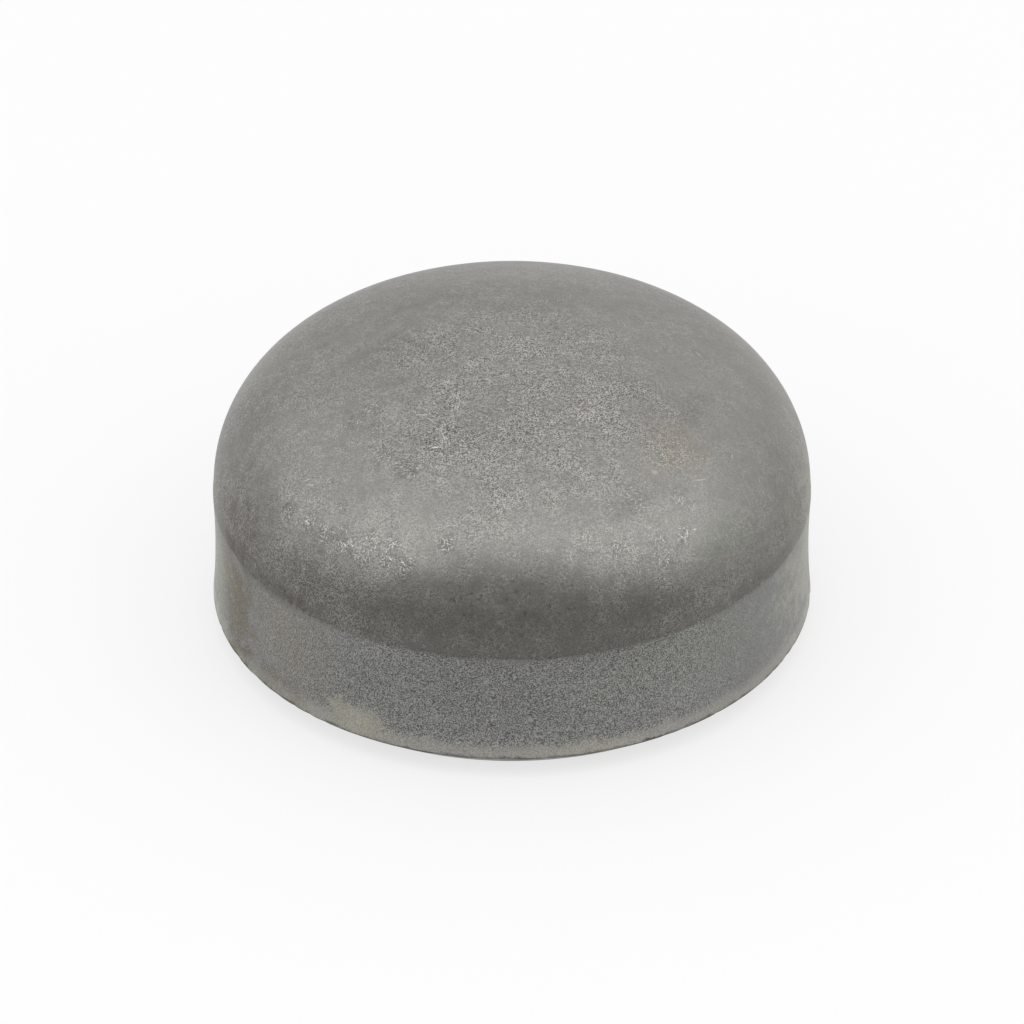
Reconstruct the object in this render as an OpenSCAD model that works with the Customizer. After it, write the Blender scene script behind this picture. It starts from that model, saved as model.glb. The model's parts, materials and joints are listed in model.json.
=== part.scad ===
// Butt-weld pipe cap: one pressed steel piece, a domed head on a short skirt with a bevelled weld end.
// The weld end stands on the XY plane and the axis runs up +Z to the crown. Sizes are in millimetres.

/* [Pipe end] */
// Outside diameter at the weld end
outside_diameter = 73; // [60:0.1:90]
// Wall thickness
wall = 5.16; // [3:0.01:7.5]
// Length from the weld end to the top of the crown
overall_length = 38.1; // [32:0.1:50]

/* [Head] */
// Outside radius of the crown
crown_radius = 65.7; // [56:0.1:80]
// Outside radius of the knuckle that turns the crown into the wall
knuckle_radius = 14.8; // [10:0.1:18]

/* [Shoulder and band] */
// How far the wall leans in between the shoulder and the knuckle, in degrees
draft_angle = 3; // [0:0.1:6]
// Height of the leaning wall above the shoulder
draft_height = 2; // [1:0.1:4]
// How far the shoulder lies inside the outside radius of the weld end
shoulder_inset = 0.05; // [0:0.01:0.3]
// Radius of the shallow hollow that sweeps round the band between weld end and shoulder
band_sweep_radius = 96; // [60:1:400]

/* [Weld bevel] */
// Angle between the bevel and the plane of the weld end, in degrees
bevel_angle = 37.5; // [30:0.5:45]
// Width of the flat land left at the root of the bevel
land_width = 1.6; // [0.8:0.1:2.4]

/* [Hidden] */
$fn = 256;
steel_grey = [0.48, 0.48, 0.46];
// Knuckle arcs stand this much proud, so that they cross the arcs and walls they blend into
arc_overlap = 0.001;

// Weld end
outside_radius = outside_diameter / 2;
bore_radius = outside_radius - wall;
land_radius = bore_radius + land_width;
bevel_top = [outside_radius, (outside_radius - land_radius) * tan(bevel_angle)];

// Head: both knuckles run tangent into crowns that share one centre on the axis
crown_centre = [0, overall_length - crown_radius];
shoulder_radius = outside_radius - shoulder_inset;
wall_top_radius = shoulder_radius - draft_height * tan(draft_angle);
outer_knuckle = knuckle_centre(wall_top_radius - knuckle_radius * cos(draft_angle));
inner_knuckle = knuckle_centre(outside_radius - knuckle_radius);

// Band: one arc from the top of the bevel to the shoulder
shoulder = [shoulder_radius, outer_knuckle.y + knuckle_radius * sin(draft_angle) - draft_height];
band_chord = shoulder - bevel_top;
band_outward = [band_chord.y, -band_chord.x] / norm(band_chord);
band_sweep_offset = sqrt(pow(band_sweep_radius, 2) - pow(norm(band_chord) / 2, 2));
band_sweep_centre = (bevel_top + shoulder) / 2 + band_sweep_offset * band_outward;

// Centre of a knuckle arc that touches the crown, from its distance to the axis
function knuckle_centre(from_axis) =
    [from_axis, crown_centre.y + sqrt(pow(crown_radius - knuckle_radius, 2) - pow(from_axis, 2))];

// Half outline of a domed solid, inset from the outside of the head: crown arc, knuckle arc and skirt.
// lean is the angle at which the skirt meets the knuckle, and skirt lists its corners from the foot up.
module domed_half(inset, lean, knuckle, skirt) {
    crown_arc = crown_radius - inset;
    knuckle_arc = knuckle_radius - inset;
    to_crown = (knuckle - crown_centre) / norm(knuckle - crown_centre);
    to_wall = [cos(lean), sin(lean)];
    intersection() {
        translate(crown_centre) circle(crown_arc);
        polygon([[0, 0], knuckle, knuckle + crown_arc * to_crown, crown_centre + [0, 2 * crown_arc]]);
    }
    intersection() {
        translate(knuckle) circle(knuckle_arc + arc_overlap);
        translate([knuckle.x, 0]) square(overall_length);
    }
    polygon(concat([[0, 0]], skirt, [knuckle + knuckle_arc * to_wall, knuckle, [0, knuckle.y]]));
}

// Outside of the cap: bevel, hollow-swept band, shoulder, leaning wall and head
module outer_half() {
    difference() {
        domed_half(0, draft_angle, outer_knuckle, [[land_radius, 0], bevel_top, shoulder]);
        translate(band_sweep_centre) circle(band_sweep_radius);
    }
}

// Inside of the cap: a straight bore that matches the pipe, under a head one wall thinner
module inner_half() {
    domed_half(wall, 0, inner_knuckle, [[bore_radius, 0]]);
}

module weld_cap() {
    color(steel_grey)
    rotate_extrude()
    difference() {
        outer_half();
        inner_half();
    }
}

weld_cap();
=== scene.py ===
# The looks of a butt-weld pipe cap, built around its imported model.
# One dense steel piece stands for the plain solid.
# Lengths are in metres, angles in degrees. Turns run round the axis from the front, and right is positive.
import json
import math
from types import SimpleNamespace

import bpy
import numpy as np
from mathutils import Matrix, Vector, kdtree


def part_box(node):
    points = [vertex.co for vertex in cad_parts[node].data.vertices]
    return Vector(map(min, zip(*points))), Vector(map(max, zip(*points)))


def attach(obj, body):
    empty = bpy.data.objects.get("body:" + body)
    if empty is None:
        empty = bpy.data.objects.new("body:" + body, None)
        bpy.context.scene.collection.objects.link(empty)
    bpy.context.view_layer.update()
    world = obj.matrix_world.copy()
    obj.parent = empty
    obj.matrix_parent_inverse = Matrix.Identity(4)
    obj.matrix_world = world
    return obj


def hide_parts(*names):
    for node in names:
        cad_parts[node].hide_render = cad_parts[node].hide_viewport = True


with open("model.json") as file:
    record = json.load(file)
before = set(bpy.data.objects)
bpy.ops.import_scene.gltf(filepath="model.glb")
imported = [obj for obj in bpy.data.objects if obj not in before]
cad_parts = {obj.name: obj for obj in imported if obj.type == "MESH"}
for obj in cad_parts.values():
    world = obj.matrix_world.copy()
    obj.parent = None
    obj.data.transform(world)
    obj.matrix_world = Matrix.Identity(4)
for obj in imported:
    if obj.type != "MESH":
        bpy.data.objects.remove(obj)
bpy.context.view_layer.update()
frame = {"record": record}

MM = 0.001

# Sizes of the cap: the outer ones come from the frame, the rest are those of the part
cap_low, cap_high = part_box("weld_cap")
mounts = {mount["name"]: mount for mount in frame["record"]["mounts"]}
outside_radius = (cap_high.x - cap_low.x) / 2
overall_length = cap_high.z - cap_low.z
bore_radius = mounts["pipe_bore"]["dims"]["r_mm"] * MM
wall = outside_radius - bore_radius
crown_radius = 65.7 * MM
knuckle_radius = 14.8 * MM
draft_angle = 3.0
draft_height = 2.0 * MM
shoulder_inset = 0.05 * MM
band_sweep_radius = 96.0 * MM
bevel_angle = 37.5
land_width = 1.6 * MM

# Edges that tools and handling have rounded: how far each one is cut back
shoulder_softness = 0.3 * MM
edge_softness = 0.16 * MM

# Mesh: steps round the axis at full radius, and the spacing of the rings along each stretch of the outline
full_steps = 512
halving_radii = (15.0 * MM, 7.5 * MM, 3.75 * MM)
ring_spacing = {
    "crown": 0.45 * MM, "knuckle": 0.4 * MM, "wall": 0.3 * MM, "band": 0.36 * MM, "bevel": 0.45 * MM,
    "land": 0.4 * MM, "bore": 1.2 * MM, "inner_knuckle": 0.9 * MM, "inner_crown": 1.3 * MM,
}
corner_rings = 4
inner_stretches = ("bore", "inner_knuckle", "inner_crown")
arc_steps = 96
pole_radius = 0.01 * MM


# Outline of the cap, as points (radius, height)

def polar(centre, radius, angle):
    """Point at an angle on a circle."""
    turn = math.radians(angle)
    return np.array([centre[0] + radius * math.cos(turn), centre[1] + radius * math.sin(turn)])


def arc(centre, radius, start, end):
    """Points along a circle from one angle to another."""
    return np.array([polar(centre, radius, angle) for angle in np.linspace(start, end, arc_steps + 1)])


def angle_from(centre, point):
    """Angle of a point seen from a centre, from 0 to 360 degrees."""
    return math.degrees(math.atan2(point[1] - centre[1], point[0] - centre[0])) % 360


def knuckle_centre(from_axis):
    """Centre of a knuckle arc that touches the crown, from its distance to the axis."""
    rise = math.sqrt((crown_radius - knuckle_radius) ** 2 - from_axis ** 2)
    return np.array([from_axis, crown_centre[1] + rise])


draft = math.radians(draft_angle)
crown_centre = np.array([0.0, overall_length - crown_radius])
shoulder_radius = outside_radius - shoulder_inset
wall_top_radius = shoulder_radius - draft_height * math.tan(draft)
outer_knuckle = knuckle_centre(wall_top_radius - knuckle_radius * math.cos(draft))
inner_knuckle = knuckle_centre(outside_radius - knuckle_radius)
wall_top = polar(outer_knuckle, knuckle_radius, draft_angle)
shoulder = np.array([shoulder_radius, wall_top[1] - draft_height])
land_radius = bore_radius + land_width
bevel_top = np.array([outside_radius, (outside_radius - land_radius) * math.tan(math.radians(bevel_angle))])
band_chord = shoulder - bevel_top
band_outward = np.array([band_chord[1], -band_chord[0]]) / np.linalg.norm(band_chord)
band_rise = math.sqrt(band_sweep_radius ** 2 - (np.linalg.norm(band_chord) / 2) ** 2)
band_centre = (bevel_top + shoulder) / 2 + band_rise * band_outward
outer_join = angle_from(crown_centre, outer_knuckle)
inner_join = angle_from(crown_centre, inner_knuckle)


def lengths_along(points):
    """Distance from the first point to each point of a line."""
    return np.concatenate([[0.0], np.cumsum(np.linalg.norm(np.diff(points, axis=0), axis=1))])


def evenly(points, spacing, start_cut=0.0, end_cut=0.0):
    """Points at even steps along a line, with its ends cut back."""
    along = lengths_along(points)
    steps = max(2, math.ceil((along[-1] - start_cut - end_cut) / spacing))
    places = np.linspace(start_cut, along[-1] - end_cut, steps + 1)
    return np.column_stack([np.interp(places, along, points[:, axis]) for axis in (0, 1)])


def soft_corner(before, corner, after):
    """Points inside a rounded corner, between the two points where it starts and ends."""
    part = np.linspace(0, 1, corner_rings + 2)[1:-1, None]
    return (1 - part) ** 2 * before + 2 * part * (1 - part) * corner + part ** 2 * after


def outline():
    """Rings (stretch, radius, height) from the outer pole over the weld end to the inner pole."""
    inner_crown_radius = crown_radius - wall
    stretches = [
        ("crown", arc(crown_centre, crown_radius, 90, outer_join), 0.0),
        ("knuckle", arc(outer_knuckle, knuckle_radius, outer_join, draft_angle), 0.0),
        ("wall", np.array([wall_top, shoulder]), shoulder_softness),
        ("band", arc(band_centre, band_sweep_radius, angle_from(band_centre, shoulder),
                     angle_from(band_centre, bevel_top)), edge_softness),
        ("bevel", np.array([bevel_top, (land_radius, 0.0)]), edge_softness),
        ("land", np.array([(land_radius, 0.0), (bore_radius, 0.0)]), edge_softness),
        ("bore", np.array([(bore_radius, 0.0), (bore_radius, inner_knuckle[1])]), 0.0),
        ("inner_knuckle", arc(inner_knuckle, knuckle_radius - wall, 0, inner_join), 0.0),
        ("inner_crown", arc(crown_centre, inner_crown_radius, inner_join, 90), 0.0),
    ]
    rings = []
    start_cut = 0.0
    for name, points, end_cut in stretches:
        places = evenly(points, ring_spacing[name], start_cut, end_cut)
        if start_cut:
            before = np.array(rings[-1][1:])
            places = np.vstack([soft_corner(before, points[0], places[0]), places])
        elif rings:
            places = places[1:]
        rings += [(name, radius, height) for radius, height in places]
        start_cut = end_cut
    return rings


def steps_round(name, radius):
    """Number of mesh steps round the axis at a radius, fewer near the poles and on the inside."""
    steps = full_steps // 2 if name in inner_stretches else full_steps
    for limit in halving_radii:
        if radius < limit:
            steps //= 2
    return 1 if radius < pole_radius else steps


# Mesh

def bridge(upper, lower):
    """Faces between two rings. A corner is (0 for the upper ring or 1 for the lower, step)."""
    if upper == 1:
        return [[(0, 0), (1, k), (1, k + 1)] for k in range(lower)]
    if lower == 1:
        return [[(0, k), (1, 0), (0, k + 1)] for k in range(upper)]
    if upper == lower:
        return [[(0, k), (1, k), (1, k + 1), (0, k + 1)] for k in range(upper)]
    faces = []
    for k in range(min(upper, lower)):
        if lower > upper:
            faces.append([(0, k), (1, 2 * k), (1, 2 * k + 1)])
            faces.append([(0, k), (1, 2 * k + 1), (0, k + 1)])
            faces.append([(0, k + 1), (1, 2 * k + 1), (1, 2 * k + 2)])
        else:
            faces.append([(0, 2 * k), (1, k), (0, 2 * k + 1)])
            faces.append([(0, 2 * k + 1), (1, k), (1, k + 1)])
            faces.append([(0, 2 * k + 1), (1, k + 1), (0, 2 * k + 2)])
    return faces


def revolve(rings):
    """Vertices and faces of the revolved rings.

    Gives the vertices' places, outward directions and stretches, the faces as (stretch, vertices, corners),
    and each ring's length along the outline and number of steps.
    A corner is (length along the outline, share of a turn).
    """
    names = [ring[0] for ring in rings]
    points = np.array([ring[1:] for ring in rings])
    along = lengths_along(points)
    tangent = np.gradient(points, along, axis=0)
    outward = np.column_stack([-tangent[:, 1], tangent[:, 0]])
    outward /= np.linalg.norm(outward, axis=1)[:, None]
    counts = [steps_round(name, point[0]) for name, point in zip(names, points)]
    firsts = np.concatenate([[0], np.cumsum(counts)])
    places = []
    directions = []
    for point, direction, count in zip(points, outward, counts):
        turn = 2 * np.pi * np.arange(count) / count
        round_axis = np.column_stack([np.cos(turn), np.sin(turn)])
        places.append(np.column_stack([point[0] * round_axis, np.full(count, point[1])]))
        directions.append(np.column_stack([direction[0] * round_axis, np.full(count, direction[1])]))
    faces = []
    for upper in range(len(rings) - 1):
        for corners in bridge(counts[upper], counts[upper + 1]):
            rows = [upper + which for which, _ in corners]
            steps = [step for _, step in corners]
            face = [int(firsts[row]) + step % counts[row] for row, step in zip(rows, steps)]
            spots = [(along[row], step / counts[row]) for row, step in zip(rows, steps)]
            faces.append((names[upper + 1], face, spots))
    stretch_of = np.repeat(names, counts)
    return np.vstack(places), np.vstack(directions), stretch_of, faces, along, counts


# Relief of the pressed skin: every depth goes into the metal

broad_wave_size = 11.0 * MM
broad_wave_depth = 0.05 * MM
small_wave_size = 3.4 * MM
small_wave_depth = 0.012 * MM
band_wave_share = 0.5
band_fade_height = 3.0 * MM
dent_count = 260
dent_radii = (0.7 * MM, 1.7 * MM)
dent_depths = (0.004 * MM, 0.015 * MM)
rim_nick_count = 46
rim_nick_reach = 0.5 * MM
rim_nick_radii = (0.5 * MM, 1.1 * MM)
rim_nick_depths = (0.02 * MM, 0.08 * MM)
shoulder_wander = 0.16 * MM
shoulder_wander_size = 4.0 * MM
shoulder_wander_reach = 1.2 * MM
noise_period = 256


def lattice_noise(places, size, seed):
    """Smooth random values from -1 to 1 that change over the given size."""
    draw = np.random.default_rng(seed)
    order = draw.permutation(noise_period)
    values = draw.uniform(-1, 1, noise_period)
    cell = np.floor(places / size).astype(int)
    part = places / size - cell
    ease = part * part * (3 - 2 * part)
    total = np.zeros(len(places))
    for corner in np.ndindex(2, 2, 2):
        weight = np.prod(np.where(corner, ease, 1 - ease), axis=1)
        x, y, z = (cell + corner).T
        row = order[(order[x % noise_period] + y) % noise_period]
        total += weight * values[order[(row + z) % noise_period]]
    return total


def scattered_dents(places, allowed, count, radii, depths, seed):
    """Depth at each place of shallow round dents, scattered over the places that allow them."""
    draw = np.random.default_rng(seed)
    tree = kdtree.KDTree(len(places))
    for index, place in enumerate(places):
        tree.insert(place, index)
    tree.balance()
    depth_at = np.zeros(len(places))
    for middle in draw.choice(np.flatnonzero(allowed), count, replace=False):
        radius = draw.uniform(*radii)
        depth = draw.uniform(*depths)
        for _, index, distance in tree.find_range(places[middle], radius):
            depth_at[index] += depth * (1 - (distance / radius) ** 2) ** 2
    return depth_at


def with_relief(places, directions, stretch_of):
    """The places moved by the waves and dents of the skin, a wandering shoulder and nicks in the rim."""
    height = places[:, 2]
    pressed = np.isin(stretch_of, ("crown", "knuckle", "wall", "inner_knuckle", "inner_crown"))
    banded = stretch_of == "band"
    rim_fade = np.clip((height - bevel_top[1]) / band_fade_height, 0, 1)
    share = np.where(pressed, 1.0, np.where(banded, band_wave_share * rim_fade, 0.0))
    broad = 0.5 + 0.5 * lattice_noise(places, broad_wave_size, seed=3)
    small = 0.5 + 0.5 * lattice_noise(places, small_wave_size, seed=4)
    depth = share * (broad_wave_depth * broad + small_wave_depth * small)
    depth += scattered_dents(places, pressed, dent_count, dent_radii, dent_depths, seed=5)
    at_rim = banded & (height < bevel_top[1] + rim_nick_reach)
    depth += scattered_dents(places, at_rim, rim_nick_count, rim_nick_radii, rim_nick_depths, seed=6)
    moved = places - depth[:, None] * directions
    near_shoulder = np.exp(-((height - shoulder[1]) / shoulder_wander_reach) ** 2)
    outer = np.isin(stretch_of, ("knuckle", "wall", "band"))
    wander = shoulder_wander * lattice_noise(places, shoulder_wander_size, seed=7)
    moved[:, 2] += outer * near_shoulder * wander
    return moved


# Layout of the map that colours are baked to: the dome and the inside are discs, the band and the weld end
# are strips of a quarter turn. A disc has its middle and radius. A strip has its lowest corner, its width
# and height and the shift of each quarter.
map_of_stretch = {
    "crown": "dome", "knuckle": "dome", "wall": "dome", "band": "band",
    "bevel": "weld_end", "land": "weld_end",
    "bore": "inside", "inner_knuckle": "inside", "inner_crown": "inside",
}
disc_maps = {"dome": ((0.365, 0.63), 0.36), "inside": ((0.865, 0.85), 0.13)}
strip_maps = {
    "band": ((0.005, 0.005), (0.441, 0.112), ((0, 0), (0.455, 0), (0, 0.126), (0.455, 0.126))),
    "weld_end": ((0.735, 0.30), (0.258, 0.028), ((0, 0), (0, 0.04), (0, 0.08), (0, 0.12))),
}


def map_corners(faces, along):
    """Place on the map of every corner of every face."""
    total = along[-1]
    lengths = {}
    for name, _, spots in faces:
        reach = lengths.setdefault(map_of_stretch[name], [total, 0.0])
        reach[0] = min(reach[0], min(spot[0] for spot in spots))
        reach[1] = max(reach[1], max(spot[0] for spot in spots))
    corners = []
    for name, _, spots in faces:
        island = map_of_stretch[name]
        start, end = lengths[island]
        if island in disc_maps:
            middle, radius = disc_maps[island]
            for place, turn in spots:
                from_pole = total - place if island == "inside" else place
                reach = radius * from_pole / (end - start)
                angle = 2 * math.pi * turn
                corners.append((middle[0] + reach * math.cos(angle), middle[1] + reach * math.sin(angle)))
        else:
            corner, size, shifts = strip_maps[island]
            quarter = int(4 * min(turn for _, turn in spots) + 1e-6)
            shift = shifts[quarter]
            for place, turn in spots:
                across = corner[0] + shift[0] + size[0] * (4 * turn - quarter)
                corners.append((across, corner[1] + shift[1] + size[1] * (end - place) / (end - start)))
    return corners


def flat_places(places, along, counts):
    """Places laid flat from the outer pole, in millimetres, for marks that are drawn on the skin."""
    turn = np.arctan2(places[:, 1], places[:, 0])
    reach = np.repeat(along, counts) / MM
    return np.column_stack([reach * np.cos(turn), reach * np.sin(turn), np.zeros(len(places))])


def cap_object():
    """The cap as one closed mesh, with its materials, its map and its flat places."""
    rings = outline()
    places, directions, stretch_of, faces, along, counts = revolve(rings)
    mesh = bpy.data.meshes.new("weld_cap_skin")
    moved = with_relief(places, directions, stretch_of)
    mesh.from_pydata(moved.tolist(), [], [face for _, face, _ in faces])
    mesh.shade_smooth()
    bake_map = mesh.uv_layers.new(name="OFBake")
    bake_map.data.foreach_set("uv", np.array(map_corners(faces, along)).ravel())
    flat = mesh.attributes.new("flat", "FLOAT_VECTOR", "POINT")
    flat.data.foreach_set("vector", flat_places(places, along, counts).ravel())
    slots = {"dome": 0, "band": 0, "weld_end": 1, "inside": 2}
    for material in (forged_skin(), cut_weld_end(), inner_skin()):
        mesh.materials.append(material)
    mesh.polygons.foreach_set("material_index", [slots[map_of_stretch[name]] for name, _, _ in faces])
    piece = bpy.data.objects.new("weld_cap_skin", mesh)
    bpy.context.scene.collection.objects.link(piece)
    return piece


# Materials: colours are linear, and patterns are laid out on the cap itself in millimetres

class Nodes:
    """Short calls that add nodes to one new metal. A value is a number, a tuple or another node's output."""

    def __init__(self, name):
        self.material = bpy.data.materials.new(name)
        self.material.use_nodes = True
        self.tree = self.material.node_tree
        self.shader = self.tree.nodes["Principled BSDF"]
        self.shader.inputs["Metallic"].default_value = 1.0
        self.place = self.scaled(self.add("ShaderNodeTexCoord").outputs["Object"], 1 / MM)
        self.flat = self.add("ShaderNodeAttribute", attribute_name="flat").outputs["Vector"]

    def give(self, socket, value):
        if isinstance(value, bpy.types.NodeSocket):
            self.tree.links.new(value, socket)
        else:
            socket.default_value = value

    def add(self, kind, values=None, **settings):
        node = self.tree.nodes.new(kind)
        for name, setting in settings.items():
            setattr(node, name, setting)
        for name, value in (values or {}).items():
            self.give(node.inputs[name], value)
        return node

    def math(self, operation, first, second=0.0, third=0.0):
        return self.add("ShaderNodeMath", {0: first, 1: second, 2: third}, operation=operation).outputs[0]

    def total(self, *values):
        result = values[0]
        for value in values[1:]:
            result = self.math("ADD", result, value)
        return result

    def product(self, *values):
        result = values[0]
        for value in values[1:]:
            result = self.math("MULTIPLY", result, value)
        return result

    def vector(self, operation, first, second=(0.0, 0.0, 0.0)):
        return self.add("ShaderNodeVectorMath", {0: first, 1: second}, operation=operation).outputs["Vector"]

    def size_of(self, vector):
        return self.add("ShaderNodeVectorMath", {0: vector}, operation="LENGTH").outputs["Value"]

    def scaled(self, vector, factor):
        node = self.add("ShaderNodeVectorMath", {0: vector, "Scale": factor}, operation="SCALE")
        return node.outputs["Vector"]

    def parts(self, vector):
        return self.add("ShaderNodeSeparateXYZ", {0: vector}).outputs

    def ramp(self, value, start, end, low=0.0, high=1.0):
        """Smooth change from low at start to high at end."""
        values = {"Value": value, "From Min": start, "From Max": end, "To Min": low, "To Max": high}
        return self.add("ShaderNodeMapRange", values, interpolation_type="SMOOTHSTEP").outputs["Result"]

    def noise(self, size, detail=2.0, roughness=0.5, place=None):
        """Noise about 0, mostly within -0.3 and 0.3, with blotches of the given size."""
        values = {"Vector": place or self.place, "Scale": 1 / size, "Detail": detail, "Roughness": roughness}
        return self.math("SUBTRACT", self.add("ShaderNodeTexNoise", values).outputs["Fac"], 0.5)

    def cells(self, place, size):
        """Random cells of the given size on the flat skin."""
        values = {"Vector": place, "Scale": 1 / size}
        return self.add("ShaderNodeTexVoronoi", values, voronoi_dimensions="2D")

    def mix(self, share, first, second):
        values = {0: share, 6: first, 7: second}
        return self.add("ShaderNodeMix", values, data_type="RGBA", clamp_factor=True).outputs[2]

    def squeezed(self, offset, axis, factor):
        """The offset with its part along an axis made so many times as large."""
        node = self.add("ShaderNodeVectorMath", {0: offset, 1: axis}, operation="DOT_PRODUCT")
        return self.vector("ADD", offset, self.scaled(axis * (factor - 1), node.outputs["Value"]))

    def spot(self, turn, above_rim, width, height, edge):
        """1 inside a soft spot on the skin, 0 outside. The noise given as edge makes its outline ragged."""
        offset = self.vector("SUBTRACT", self.place, skin_point(turn, above_rim))
        if width != height:
            angle = math.radians(turn)
            side = Vector((math.cos(angle), math.sin(angle), 0.0))
            offset = self.squeezed(offset, side, height / width)
        distance = self.math("MULTIPLY_ADD", edge, height, self.size_of(offset))
        return self.ramp(distance, spot_end * height, spot_core * height)

    def stroke(self, offset, angle, length, width, bend):
        """1 on a short bent scratch that runs through the offset's zero point, 0 beside it."""
        values = {"Vector": offset, "Angle": angle}
        turned = self.add("ShaderNodeVectorRotate", values, rotation_type="Z_AXIS")
        across, along, _ = self.parts(turned.outputs["Vector"])
        sag = self.product(along, along, bend)
        beside = self.math("ABSOLUTE", self.total(across, sag))
        from_middle = self.math("ABSOLUTE", along)
        ends = self.ramp(from_middle, length / 2, length / 4)
        return self.product(self.ramp(beside, width / 2, width / 6), ends)

    def scratches(self, cell, length, width, shift, share):
        """Short scratches in all directions, in the given share of the cells."""
        place = self.vector("ADD", self.flat, (shift, 0.6 * shift, 0.0))
        cells = self.cells(place, cell)
        chance, angle, bend = self.parts(cells.outputs["Color"])
        offset = self.vector("SUBTRACT", place, cells.outputs["Position"])
        bend = self.product(self.math("SUBTRACT", bend, 0.5), 0.4 / length)
        drawn = self.stroke(offset, self.product(angle, 2 * math.pi), length, width, bend)
        return self.product(drawn, self.ramp(self.total(chance, share), 1.0, 1.55))

    def mark(self, turn, above_rim, length, lean):
        """One straight scratch at a place on the skin; lean is its angle from straight up the skin."""
        reach = skin_length - above_rim
        angle = math.radians(turn)
        course = math.radians(lean - turn)
        middle = (reach * math.sin(angle), -reach * math.cos(angle), 0.0)
        axis = Vector((math.sin(course), math.cos(course), 0.0))
        offset = self.squeezed(self.vector("SUBTRACT", self.flat, middle), axis, mark_width / length)
        return self.ramp(self.size_of(offset), mark_width / 2, mark_width / 6)

    def finish(self, colour, roughness, height, bump_depth, bump_share=1.0):
        bump = self.add("ShaderNodeBump", {"Height": height, "Distance": bump_depth, "Strength": bump_share})
        self.give(self.shader.inputs["Base Color"], colour)
        self.give(self.shader.inputs["Roughness"], roughness)
        self.give(self.shader.inputs["Normal"], bump.outputs["Normal"])
        return self.material


outer_stretches = ("crown", "knuckle", "wall", "band")
outer_points = np.array([ring[1:] for ring in outline() if ring[0] in outer_stretches])[::-1]
skin_length = lengths_along(outer_points)[-1] / MM


def skin_point(turn, above_rim):
    """Point on the outside in millimetres, so many millimetres up the skin from the rim."""
    along = lengths_along(outer_points) / MM
    radius, height = (np.interp(above_rim, along, outer_points[:, axis]) / MM for axis in (0, 1))
    angle = math.radians(turn)
    return (radius * math.sin(angle), -radius * math.cos(angle), height)


crown_colour = (0.291, 0.284, 0.267, 1)
# Partly painted shade: the lower knuckle and wall are darker than the crown
wall_colour_with_painted_shade = (0.210, 0.204, 0.189, 1)
band_colour = (0.230, 0.229, 0.220, 1)
rim_colour = (0.325, 0.317, 0.292, 1)
shoulder_mm = shoulder[1] / MM
rim_mm = bevel_top[1] / MM

# Scratches seen on the skin: turn, height up the skin, length, lean from upright and brightness
seen_marks = (
    (-43, 45.1, 2.4, 56, 1.0),
    (-37, 44.9, 2.4, 103, 0.9),
    (-28, 43.3, 2.8, 138, 1.0),
    (-28, 41.4, 2.1, 62, 1.0),
    (-4, 41.5, 2.2, 53, 0.8),
    (26, 42.0, 1.3, 2, 0.8),
    (64, 30.4, 1.1, 55, 0.7),
    (102, 37.5, 1.4, 68, 0.9),
    (-55, 29.6, 1.7, 36, 0.7),
    (-53, 29.5, 1.8, 66, 0.7),
    (-48, 25.5, 1.5, 109, 1.0),
    (-37, 25.2, 1.6, 107, 1.0),
    (-26, 25.4, 1.3, 124, 1.0),
    (-23, 25.3, 1.5, 127, 1.0),
    (5, 17.3, 1.8, 87, 0.5),
    (40, 26.1, 1.5, 24, 0.8),
    (42, 26.1, 1.2, 105, 0.7),
    (51, 30.9, 2.0, 116, 0.6),
    (59, 32.0, 2.6, 115, 0.3),
)
mark_width = 0.19

# A spot is full inside the first share of its height, measured from its middle, and gone outside the second
spot_core = 0.1
spot_end = 0.55

# Patches where handling has scuffed the skin: turn, height up the skin, width, height and strength
scuffed_patches = (
    (-54, 25.2, 3.2, 3.2, 0.95),
    (-47.5, 25.5, 3.6, 3.6, 1.2),
    (-42.5, 25.4, 4.4, 4.4, 1.1),
    (-42, 28.9, 3.0, 3.0, 0.9),
    (-39, 27.0, 3.2, 3.2, 0.9),
    (-37, 25.1, 4.8, 4.8, 1.1),
    (-32.5, 24.3, 3.6, 3.6, 0.9),
    (-31.5, 26.7, 3.6, 3.6, 0.8),
    (-26.5, 27.2, 3.4, 3.4, 0.9),
    (-26.5, 25.5, 3.4, 3.4, 1.0),
    (-22.7, 24.9, 4.2, 4.2, 0.95),
    (-15, 28.7, 3.0, 3.0, 1.0),
    (-45, 18.8, 14.0, 7.0, 0.5),
    (-29, 16.2, 4.0, 4.0, 0.7),
    (-63, 41.6, 4.6, 4.6, 0.8),
    (-61, 39.2, 4.6, 4.6, 0.8),
    (-53, 40.3, 4.6, 4.6, 0.8),
    (-42, 38.7, 6.0, 6.0, 0.8),
    (-33.5, 37.0, 5.4, 5.4, 0.85),
    (-30, 42.8, 9.0, 9.0, 0.45),
    (17, 28.6, 4.0, 4.0, 0.6),
    (24, 26.6, 4.8, 4.8, 0.8),
    (26, 25.0, 9.0, 6.0, 0.65),
    (24, 31.8, 4.6, 4.6, 0.55),
    (33, 24.4, 5.0, 5.0, 0.8),
    (33, 26.7, 4.0, 4.0, 0.8),
    (32, 32.0, 6.0, 6.0, 0.7),
    (39, 26.0, 3.6, 3.6, 1.0),
    (43, 30.3, 4.0, 4.0, 0.65),
    (53, 36.3, 9.0, 9.0, 0.5),
)

# A worn patch of the rim that reaches up the band: turn, height up the skin, width and height
rim_patch = (-31, 1.8, 11.0, 6.0)
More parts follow.
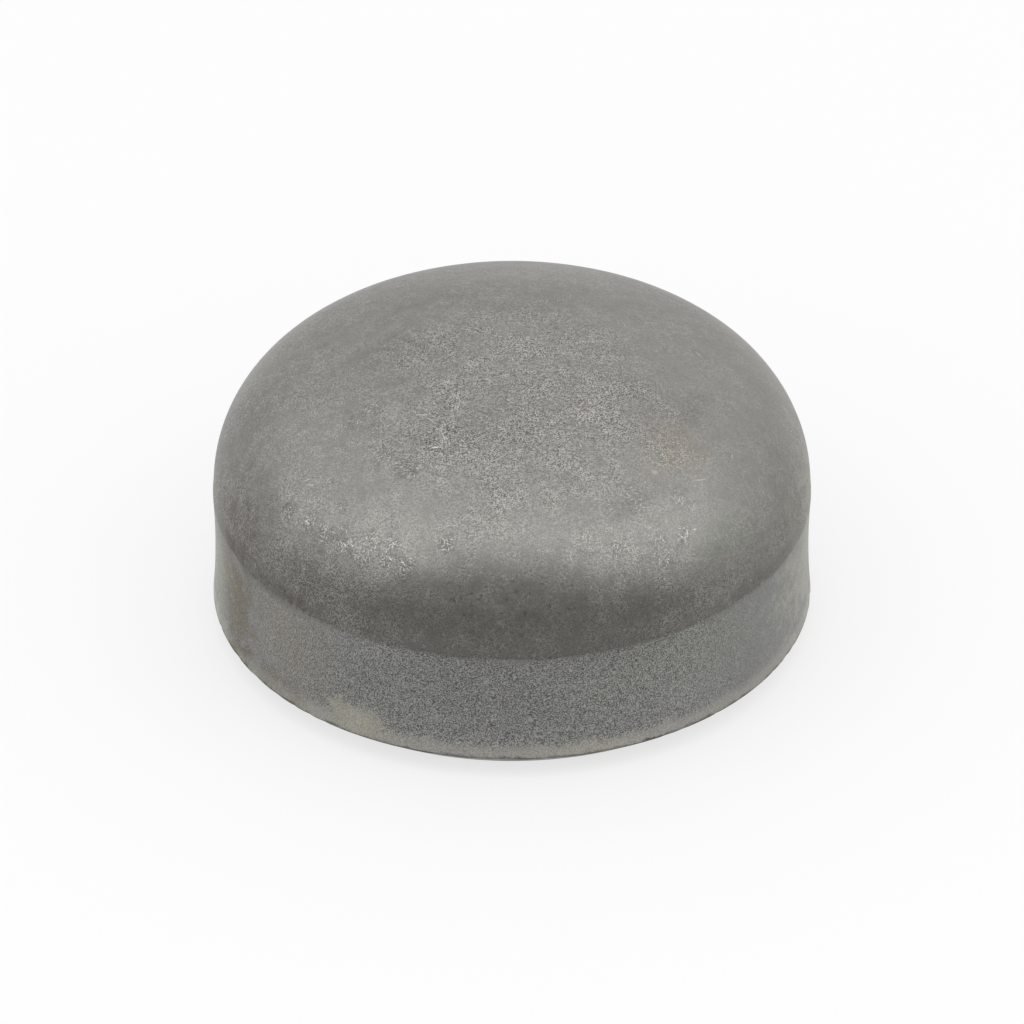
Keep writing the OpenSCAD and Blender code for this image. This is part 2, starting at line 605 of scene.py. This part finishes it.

# Stains and painted reflections: turn, height up the skin, width, height and what they do to red, green and
# blue
stains_and_painted_reflections = (
    (53, 36.3, 12.0, 10.0, (1.12, 1.10, 1.07)),
    (54, 36.0, 8.0, 8.0, (1.03, 1.0, 0.96)),
    (53, 38.4, 1.0, 1.0, (1.25, 1.25, 1.23)),
    (42, 34.7, 1.0, 1.0, (1.25, 1.25, 1.23)),
    (*rim_patch, (1.11, 1.10, 1.01)),
    (15, 0.6, 24.0, 3.0, (1.08, 1.07, 1.02)),
    (-58, 1.0, 28.0, 5.0, (0.83, 0.82, 0.79)),
    # Painted reflection: the right end of the band is made paler, as by light reflected at a grazing angle
    (92, 10.5, 48.0, 27.0, (1.57, 1.56, 1.40)),
    (-68, 9.5, 15.0, 25.0, (0.74, 0.69, 0.62)),
    (-67, 8.0, 10.0, 15.0, (0.97, 0.93, 0.88)),
    # Painted reflection: the left end of the band is made paler in the same way
    (-95, 8.0, 36.0, 25.0, (1.50, 1.52, 1.37)),
    (-49, 9.0, 20.0, 18.0, (1.10, 1.06, 1.0)),
    (-21, 28.0, 7.0, 7.0, (1.04, 1.05, 1.04)),
    (48, 23.6, 14.0, 6.0, (0.96, 1.0, 0.97)),
    (33, 10.0, 44.0, 13.0, (1.08, 1.09, 1.06)),
)

# Paler and darker patches of scale, and painted shade: turn, height up the skin, width, height and brightness
tone_and_shade_patches = (
    (-10, 45.0, 24.0, 10.0, 0.93),
    (72, 37.6, 9.0, 5.0, 0.88),
    (-86, 26.0, 16.0, 14.0, 0.86),
    (-84, 42.0, 16.0, 34.0, 0.93),
    (-66, 47.0, 10.0, 8.0, 0.92),
    (0, 60.0, 16.0, 16.0, 1.05),
    (-66, 24.0, 20.0, 9.0, 0.88),
    (-135, 40.0, 44.0, 24.0, 0.92),
    (180, 48.0, 40.0, 14.0, 0.93),
    # Painted shade: the front of the lower knuckle is made darker
    (0, 25.8, 32.0, 9.0, 0.86),
    (-24, 24.3, 11.0, 6.0, 0.92),
    (-41, 21.8, 18.0, 6.0, 0.92),
    (74, 24.5, 14.0, 7.0, 0.92),
    (-32, 16.0, 26.0, 12.0, 1.10),
    (45, 17.0, 42.0, 10.0, 1.12),
    (50, 31.0, 16.0, 7.0, 1.07),
    (38, 36.5, 12.0, 8.0, 1.05),
    (0, 7.0, 26.0, 9.0, 0.94),
    (37, 4.0, 16.0, 9.0, 1.08),
)


# Sizes of the skin's noises in millimetres
broad_size = 13.0
patch_size = 4.5
edge_size = 1.9
fleck_size = 0.5
grain_size = 0.17

# Zones: their heights or reaches in millimetres, where each one starts and where it is full
rim_strip_heights = (rim_mm + 2.6, rim_mm + 0.9)
wall_heights = (28.5, 21.0)
scuff_belt_heights = ((22.0, 26.0), (35.0, 30.0))
pale_speck_heights = (23.5, 22.0)
scaly_middle = (8, 53)
scaly_reach = (23.0, 9.0)
stippled_middle = (5, 9)
stippled_reach = (34.0, 16.0)
shoulder_blur = 0.45
left_shoulder_blur = 1.5

# Shares of the speckle, and a quiet place low on the front: turn, height up the skin, width and height
dome_speckle_share = 0.7
scaly_speckle_share = 1.15
wall_speckle_share = 0.6
band_speckle_share = 0.9
stippled_speckle_share = 0.8
left_speckle_share = 0.25
right_speckle_share = -0.27
quiet_speckle_share = -0.4
quiet_place = (3, 19.0, 44.0, 15.0)
speckle_strength = 0.65

# Dirt and painted shade: the dirtier places of the shoulder have a turn, height up the skin, width, height
# and share
shoulder_dirt_share = 0.12
dirty_places = ((-56, 15.6, 48.0, 7.0, 0.45), (62, 16.4, 30.0, 7.0, 0.3))
# Painted shade at the foot of the wall, just above the shoulder
wall_foot_shade = 0.07
rim_edge_darkening_share = 0.65

# Specks on the wall, and the place of the dark ones
speck_cell = 1.2
pale_speck_light = 0.22
dark_speck_shade = -0.2
dark_speck_place = (4, 22.3, 46.0, 6.0)

# Ticks of the scuffs: cell, length, width and a shift that keeps the two kinds apart
short_tick = (0.5, 0.75, 0.15, 0.0)
long_tick = (0.8, 1.1, 0.15, 31.0)

skin_roughness = 0.45
skin_bump_depth = 0.03 * MM


def skin_noises(nodes):
    """Noises that the patterns of the skin share, from broad blotches down to the grain."""
    return SimpleNamespace(
        broad=nodes.noise(broad_size, 2.0),
        patches=nodes.noise(patch_size, 3.0, 0.6),
        edge=nodes.noise(edge_size, 3.0, 0.65),
        fleck=nodes.noise(fleck_size, 1.0, 0.7),
        grain=nodes.noise(grain_size, 0.0),
    )


def round_zone(nodes, noise, middle, reach, raggedness):
    """1 near a point of the skin, 0 far from it, with a broad ragged edge."""
    offset = nodes.vector("SUBTRACT", nodes.place, skin_point(*middle))
    distance = nodes.total(nodes.size_of(offset), nodes.product(noise.broad, raggedness))
    return nodes.ramp(distance, *reach)


def skin_zones(nodes, noise):
    """Shares of the zones: band under a ragged shoulder, dome, rim strip, wall, scale and stippling."""
    x, _, height = nodes.parts(nodes.place)
    ragged = nodes.total(height, nodes.product(noise.edge, 1.5), nodes.product(noise.fleck, 1.6))
    blur = nodes.ramp(x, -24.0, -32.0, shoulder_blur, left_shoulder_blur)
    band = nodes.ramp(ragged, nodes.total(blur, shoulder_mm), nodes.math("SUBTRACT", shoulder_mm, blur))
    strip = nodes.ramp(nodes.total(height, nodes.product(noise.patches, 2.0)), *rim_strip_heights)
    roughness = nodes.total(noise.patches, nodes.product(noise.edge, 0.6))
    return SimpleNamespace(
        x=x,
        height=height,
        band=band,
        dome=nodes.math("SUBTRACT", 1.0, band),
        rim=nodes.math("MAXIMUM", strip, nodes.spot(*rim_patch, noise.edge)),
        wall=nodes.ramp(nodes.total(height, nodes.product(noise.patches, 3.0)), *wall_heights),
        scaly=round_zone(nodes, noise, scaly_middle, scaly_reach, 24.0),
        stippled=round_zone(nodes, noise, stippled_middle, stippled_reach, 20.0),
        rough_patch=nodes.ramp(roughness, -0.16, 0.16, 0.5, 1.1),
    )


def zone_colour(nodes, zones):
    """Plain colour of each zone."""
    # The darker wall colour is partly painted shade of the lower knuckle and wall
    dome_colour = nodes.mix(zones.wall, crown_colour, wall_colour_with_painted_shade)
    foot_colour = nodes.mix(nodes.product(zones.rim, 0.9), band_colour, rim_colour)
    return nodes.mix(zones.band, dome_colour, foot_colour)


def skin_stains_and_painted_light(nodes, edge):
    """What the stains, painted reflections, paler and darker patches and painted shade do to the colour."""
    tint = (1.0, 1.0, 1.0)
    for turn, above_rim, width, height, effect in stains_and_painted_reflections:
        spot = nodes.spot(turn, above_rim, width, height, edge)
        tint = nodes.vector("ADD", tint, nodes.scaled(Vector(effect) - Vector((1, 1, 1)), spot))
    tone = 1.0
    soft_edge = nodes.product(edge, 0.4)
    for turn, above_rim, width, height, brightness in tone_and_shade_patches:
        spot = nodes.spot(turn, above_rim, width, height, soft_edge)
        tone = nodes.math("MULTIPLY_ADD", spot, brightness - 1, tone)
    return nodes.scaled(tint, tone)


def skin_speckle(nodes, noise, zones):
    """Brightness of the speckle, and how much the grain stands out."""
    left = nodes.ramp(zones.x, -10.0, -30.0, 0.0, left_speckle_share)
    side = nodes.total(left, nodes.ramp(zones.x, 14.0, 30.0, 0.0, right_speckle_share))
    quiet = nodes.product(nodes.spot(*quiet_place, noise.edge), quiet_speckle_share)
    scaly = nodes.product(zones.scaly, scaly_speckle_share)
    wall = nodes.product(zones.wall, wall_speckle_share)
    dome_share = nodes.product(nodes.total(dome_speckle_share, side, scaly, wall, quiet), zones.rough_patch)
    dome_share = nodes.product(dome_share, zones.dome)
    dome_grain = nodes.total(noise.grain, nodes.product(noise.fleck, 0.5))
    dome_speckle = nodes.product(nodes.ramp(dome_grain, -0.28, 0.32, -0.45, 0.55), dome_share)
    stippled = nodes.product(zones.stippled, stippled_speckle_share)
    band_share = nodes.product(nodes.total(band_speckle_share, side, stippled), zones.band)
    band_share = nodes.product(band_share, nodes.ramp(zones.rim, 0.1, 0.9, 1.0, 0.4))
    band_grain = nodes.total(noise.grain, nodes.product(noise.fleck, 0.25))
    band_speckle = nodes.product(nodes.ramp(band_grain, -0.3, 0.32, -0.5, 0.5), band_share)
    speckle = nodes.product(nodes.total(dome_speckle, band_speckle), speckle_strength)
    return speckle, nodes.total(dome_share, band_share)


def skin_mottle(nodes, noise, zones):
    """Brightness of the soft blotches, half as strong on the band."""
    broad = nodes.product(noise.broad, 0.18)
    blotches = nodes.total(broad, nodes.product(noise.patches, 0.3), nodes.product(noise.edge, 0.4))
    return nodes.product(blotches, nodes.total(0.5, nodes.product(zones.dome, 0.5)))


def skin_scuffs(nodes, noise, zones):
    """Brightness of the handling scuffs: ticks and flecks in clusters, strewn ticks and single scratches."""
    foot, head = (nodes.ramp(zones.height, *heights) for heights in scuff_belt_heights)
    clusters = nodes.product(foot, head, nodes.ramp(noise.edge, 0.0, 0.2), 0.3)
    ragged = nodes.product(noise.edge, 0.6)
    for turn, above_rim, width, tall, strength in scuffed_patches:
        patch = nodes.product(nodes.spot(turn, above_rim, width, tall, ragged), strength)
        clusters = nodes.math("MAXIMUM", clusters, patch)
    share = nodes.total(nodes.product(clusters, 0.46), nodes.product(zones.rough_patch, 0.4))
    short_light = nodes.math("MULTIPLY_ADD", clusters, 0.65, 0.3)
    short_ticks = nodes.product(nodes.scratches(*short_tick, share), short_light)
    long_light = nodes.math("MULTIPLY_ADD", clusters, 0.9, -0.25)
    long_ticks = nodes.product(nodes.scratches(*long_tick, share), long_light)
    flecks = nodes.product(nodes.ramp(noise.grain, 0.0, 0.3), clusters, 0.25)
    scuffs = nodes.total(short_ticks, long_ticks, flecks, nodes.product(clusters, -0.2))
    for turn, above_rim, length, lean, brightness in seen_marks:
        mark = nodes.mark(turn, above_rim, length, lean)
        scuffs = nodes.math("MULTIPLY_ADD", mark, brightness, scuffs)
    return scuffs


def wall_specks(nodes, noise, zones):
    """Brightness of pale specks strewn over the wall and dark ones at the front, under the knuckle."""
    cells = nodes.cells(nodes.flat, speck_cell)
    chance, size, _ = nodes.parts(cells.outputs["Color"])
    distance = nodes.product(cells.outputs["Distance"], nodes.total(1.0, size))
    speck = nodes.ramp(nodes.total(distance, nodes.product(noise.fleck, 0.8)), 0.4, 0.1)
    low = nodes.ramp(zones.height, *pale_speck_heights)
    pale = nodes.product(nodes.ramp(chance, 0.74, 0.78), low, pale_speck_light)
    front = nodes.spot(*dark_speck_place, noise.fleck)
    dark = nodes.product(nodes.ramp(chance, 0.54, 0.5), front, dark_speck_shade)
    return nodes.product(speck, nodes.total(pale, dark))


def skin_dirt_and_shade(nodes, noise, zones):
    """Darkening by dirt over the shoulder, painted shade at the foot of the wall and a broken darker line
    along the rim's edge.
    """
    spots = nodes.ramp(nodes.total(noise.fleck, nodes.product(noise.grain, 0.8)), -0.12, 0.2)
    share = shoulder_dirt_share
    for turn, above_rim, width, tall, strength in dirty_places:
        place = nodes.spot(turn, above_rim, width, tall, noise.edge)
        share = nodes.math("MULTIPLY_ADD", place, strength, share)
    height = nodes.total(zones.height, nodes.product(noise.edge, 2.4))
    head = nodes.ramp(height, shoulder_mm + 3.0, shoulder_mm + 0.8)
    foot = nodes.ramp(height, shoulder_mm - 1.6, shoulder_mm + 0.2)
    # Painted shade at the foot of the wall, just above the shoulder
    shade = nodes.ramp(zones.height, shoulder_mm + 3.5, shoulder_mm + 1.0, 0.0, wall_foot_shade)
    # Darker in broken patches along the rim's edge
    edge_line = nodes.ramp(nodes.total(zones.height, noise.edge), rim_mm + 0.5, rim_mm + 0.1)
    rim_edge_darkening = nodes.product(edge_line, nodes.ramp(noise.patches, -0.12, 0.1), rim_edge_darkening_share)
    dirt_and_shade = nodes.total(nodes.product(head, foot, spots, share), nodes.product(shade, zones.dome), rim_edge_darkening)
    return nodes.product(dirt_and_shade, -1.0)


def forged_skin():
    """Outside of the cap: scaly crown, scuffed knuckle, wall darkened partly by painted shade, stippled band
    and paler rim.
    """
    nodes = Nodes("forged_skin")
    noise = skin_noises(nodes)
    zones = skin_zones(nodes, noise)
    speckle, bump_share = skin_speckle(nodes, noise, zones)
    marks = nodes.total(skin_scuffs(nodes, noise, zones), wall_specks(nodes, noise, zones))
    marks = nodes.product(marks, zones.dome)
    level = nodes.total(1.0, speckle, skin_mottle(nodes, noise, zones), marks, skin_dirt_and_shade(nodes, noise, zones))
    colour = nodes.vector("MULTIPLY", zone_colour(nodes, zones), skin_stains_and_painted_light(nodes, noise.edge))
    roughness = nodes.total(skin_roughness, nodes.product(noise.patches, 0.2), nodes.product(marks, -0.1))
    bumps = nodes.total(noise.grain, noise.fleck)
    return nodes.finish(nodes.scaled(colour, level), roughness, bumps, skin_bump_depth, bump_share)


cut_steel_colour = (0.17, 0.165, 0.155, 1)
cut_rust_colour = (0.10, 0.085, 0.07, 1)
turning_bump_depth = 0.04 * MM


def cut_weld_end():
    """Bevel and land: cut steel with turning marks, gone dull and a little brown."""
    nodes = Nodes("cut_weld_end")
    x, y, _ = nodes.parts(nodes.place)
    radius = nodes.math("SQRT", nodes.total(nodes.product(x, x), nodes.product(y, y)))
    wavy_radius = nodes.total(radius, nodes.product(nodes.noise(2.0), 0.2))
    turning = nodes.math("SINE", nodes.product(wavy_radius, 24.0))
    patches = nodes.noise(3.0, 4.0, 0.6)
    colour = nodes.mix(nodes.ramp(patches, -0.1, 0.15), cut_steel_colour, cut_rust_colour)
    colour = nodes.scaled(colour, nodes.total(1.0, nodes.product(turning, 0.06), nodes.noise(0.5)))
    roughness = nodes.total(0.42, nodes.product(patches, 0.3))
    return nodes.finish(colour, roughness, nodes.product(turning, 0.2), turning_bump_depth)


inner_scale_colour = (0.20, 0.19, 0.18, 1)
inner_rust_colour = (0.15, 0.125, 0.105, 1)


def inner_skin():
    """Inside of the cap: dark press scale with faint rings."""
    nodes = Nodes("inner_skin")
    patches = nodes.noise(6.0, 4.0, 0.6)
    grain = nodes.noise(0.5, 2.0, 0.6)
    rings = nodes.noise(1.2, 2.0, 0.5, nodes.vector("MULTIPLY", nodes.place, (0.1, 0.1, 1.0)))
    colour = nodes.mix(nodes.ramp(patches, -0.1, 0.2), inner_scale_colour, inner_rust_colour)
    colour = nodes.scaled(colour, nodes.total(1.0, nodes.product(grain, 0.7), nodes.product(rings, 0.3)))
    roughness = nodes.total(0.5, nodes.product(patches, 0.2))
    return nodes.finish(colour, roughness, nodes.total(grain, rings), skin_bump_depth)


# Set: a white room with three soft lamps, and a low dark card before the cap that only its reflections see

floor_half_size = 4.0
floor_colour = (0.84, 0.84, 0.84, 1)
floor_glow_share = 0.7
card_distance = 62 * MM
card_half_span = 110.0
card_front_height = 61 * MM
card_side_height = 6 * MM
card_hump = 42.0
card_steps = 96
card_tone = (0.45, 0.45, 0.45, 1)
lamp_distance = 0.9
room_horizon_level = 0.80
room_white_from = 0.6

# Lamps: azimuth to the right of the camera, elevation, diameter and radiance
lamps = {
    "left_lamp": (-65, 40, 0.8, 0.40),
    "right_lamp": (65, 40, 0.8, 0.50),
    "top_lamp": (0, 76, 0.9, 0.4),
}


def new_mesh_object(name, corners, faces, material):
    mesh = bpy.data.meshes.new(name)
    mesh.from_pydata(corners, [], faces)
    mesh.materials.append(material)
    piece = bpy.data.objects.new(name, mesh)
    bpy.context.scene.collection.objects.link(piece)
    return piece


def white_world():
    """A white room that is a little greyer towards the horizon."""
    world = bpy.data.worlds.new("white_room")
    bpy.context.scene.world = world
    world.use_nodes = True
    tree = world.node_tree
    direction = tree.nodes.new("ShaderNodeTexCoord")
    axes = tree.nodes.new("ShaderNodeSeparateXYZ")
    level = tree.nodes.new("ShaderNodeMapRange")
    level.interpolation_type = "SMOOTHSTEP"
    level.inputs["From Min"].default_value = 0.0
    level.inputs["From Max"].default_value = room_white_from
    level.inputs["To Min"].default_value = room_horizon_level
    level.inputs["To Max"].default_value = 1.0
    tree.links.new(direction.outputs["Generated"], axes.inputs[0])
    tree.links.new(axes.outputs["Z"], level.inputs["Value"])
    tree.links.new(level.outputs["Result"], tree.nodes["Background"].inputs["Strength"])
    tree.nodes["Background"].inputs["Color"].default_value = (1, 1, 1, 1)


def paper_material():
    """Pale paper that rays from the camera and from reflections see as nearly white, clear from below."""
    material = bpy.data.materials.new("white_paper")
    material.use_nodes = True
    tree = material.node_tree
    paper = tree.nodes["Principled BSDF"]
    paper.inputs["Base Color"].default_value = floor_colour
    paper.inputs["Roughness"].default_value = 1.0
    paper.inputs["Specular IOR Level"].default_value = 0.0
    glow = tree.nodes.new("ShaderNodeEmission")
    path = tree.nodes.new("ShaderNodeLightPath")
    seen = path.outputs["Is Camera Ray"]
    for kind in ("Is Glossy Ray", "Is Transmission Ray"):
        either = tree.nodes.new("ShaderNodeMath")
        either.operation = "MAXIMUM"
        tree.links.new(seen, either.inputs[0])
        tree.links.new(path.outputs[kind], either.inputs[1])
        seen = either.outputs[0]
    share = tree.nodes.new("ShaderNodeMath")
    share.operation = "MULTIPLY"
    share.inputs[1].default_value = floor_glow_share
    tree.links.new(seen, share.inputs[0])
    mix = tree.nodes.new("ShaderNodeMixShader")
    tree.links.new(share.outputs[0], mix.inputs[0])
    tree.links.new(paper.outputs[0], mix.inputs[1])
    tree.links.new(glow.outputs[0], mix.inputs[2])
    side = tree.nodes.new("ShaderNodeNewGeometry")
    clear = tree.nodes.new("ShaderNodeBsdfTransparent")
    one_sided = tree.nodes.new("ShaderNodeMixShader")
    tree.links.new(side.outputs["Backfacing"], one_sided.inputs[0])
    tree.links.new(mix.outputs[0], one_sided.inputs[1])
    tree.links.new(clear.outputs[0], one_sided.inputs[2])
    tree.links.new(one_sided.outputs[0], tree.nodes["Material Output"].inputs["Surface"])
    return material


def lay_floor():
    reach = floor_half_size
    corners = [(-reach, -reach, 0), (reach, -reach, 0), (reach, reach, 0), (-reach, reach, 0)]
    new_mesh_object("floor", corners, [(0, 1, 2, 3)], paper_material())


def card_material():
    material = bpy.data.materials.new("dark_card")
    material.use_nodes = True
    tree = material.node_tree
    glow = tree.nodes.new("ShaderNodeEmission")
    glow.inputs["Color"].default_value = card_tone
    tree.links.new(glow.outputs[0], tree.nodes["Material Output"].inputs["Surface"])
    return material


def stand_card():
    """A dark card round the cap's front, tallest in the middle, hidden from the camera and from shadows."""
    turns = np.linspace(-card_half_span, card_half_span, card_steps + 1)
    foot = []
    head = []
    for turn in turns:
        angle = math.radians(turn)
        hump = math.exp(-(turn / card_hump) ** 2)
        x, y = card_distance * math.sin(angle), -card_distance * math.cos(angle)
        foot.append((x, y, 0.0))
        head.append((x, y, card_side_height + (card_front_height - card_side_height) * hump))
    count = card_steps + 1
    faces = [(k, k + 1, count + k + 1, count + k) for k in range(card_steps)]
    card = new_mesh_object("dark_card", foot + head, faces, card_material())
    card.visible_camera = False
    card.visible_diffuse = False
    card.visible_shadow = False


def hang_lamps():
    for name, (azimuth, elevation, diameter, radiance) in lamps.items():
        data = bpy.data.lights.new(name, "AREA")
        data.shape = "DISK"
        data.size = diameter
        area = math.pi * diameter ** 2 / 4
        data.energy = radiance * math.pi * area
        lamp = bpy.data.objects.new(name, data)
        bpy.context.scene.collection.objects.link(lamp)
        turn, rise = math.radians(azimuth), math.radians(elevation)
        away = Vector((math.sin(turn) * math.cos(rise), -math.cos(turn) * math.cos(rise), math.sin(rise)))
        lamp.location = lamp_distance * away
        lamp.rotation_euler = away.to_track_quat("Z", "Y").to_euler()


# Camera

camera_elevation = 34.55
camera_distance = 2.18
camera_lens_mm = 628.6
camera_sensor_mm = 36.0
camera_view_end = 20.0
camera_aim_height = 13.86 * MM


def place_camera():
    data = bpy.data.cameras.new("camera")
    data.lens = camera_lens_mm
    data.sensor_width = camera_sensor_mm
    data.clip_end = camera_view_end
    camera = bpy.data.objects.new("camera", data)
    bpy.context.scene.collection.objects.link(camera)
    rise = math.radians(camera_elevation)
    aim = Vector((0, 0, camera_aim_height))
    back = Vector((0, -math.cos(rise), math.sin(rise)))
    camera.location = aim + camera_distance * back
    camera.rotation_euler = back.to_track_quat("Z", "Y").to_euler()
    bpy.context.scene.camera = camera


bpy.context.scene.view_settings.view_transform = "Standard"
cap = cap_object()
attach(cap, "root")
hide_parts("weld_cap")
white_world()
lay_floor()
stand_card()
hang_lamps()
place_camera()
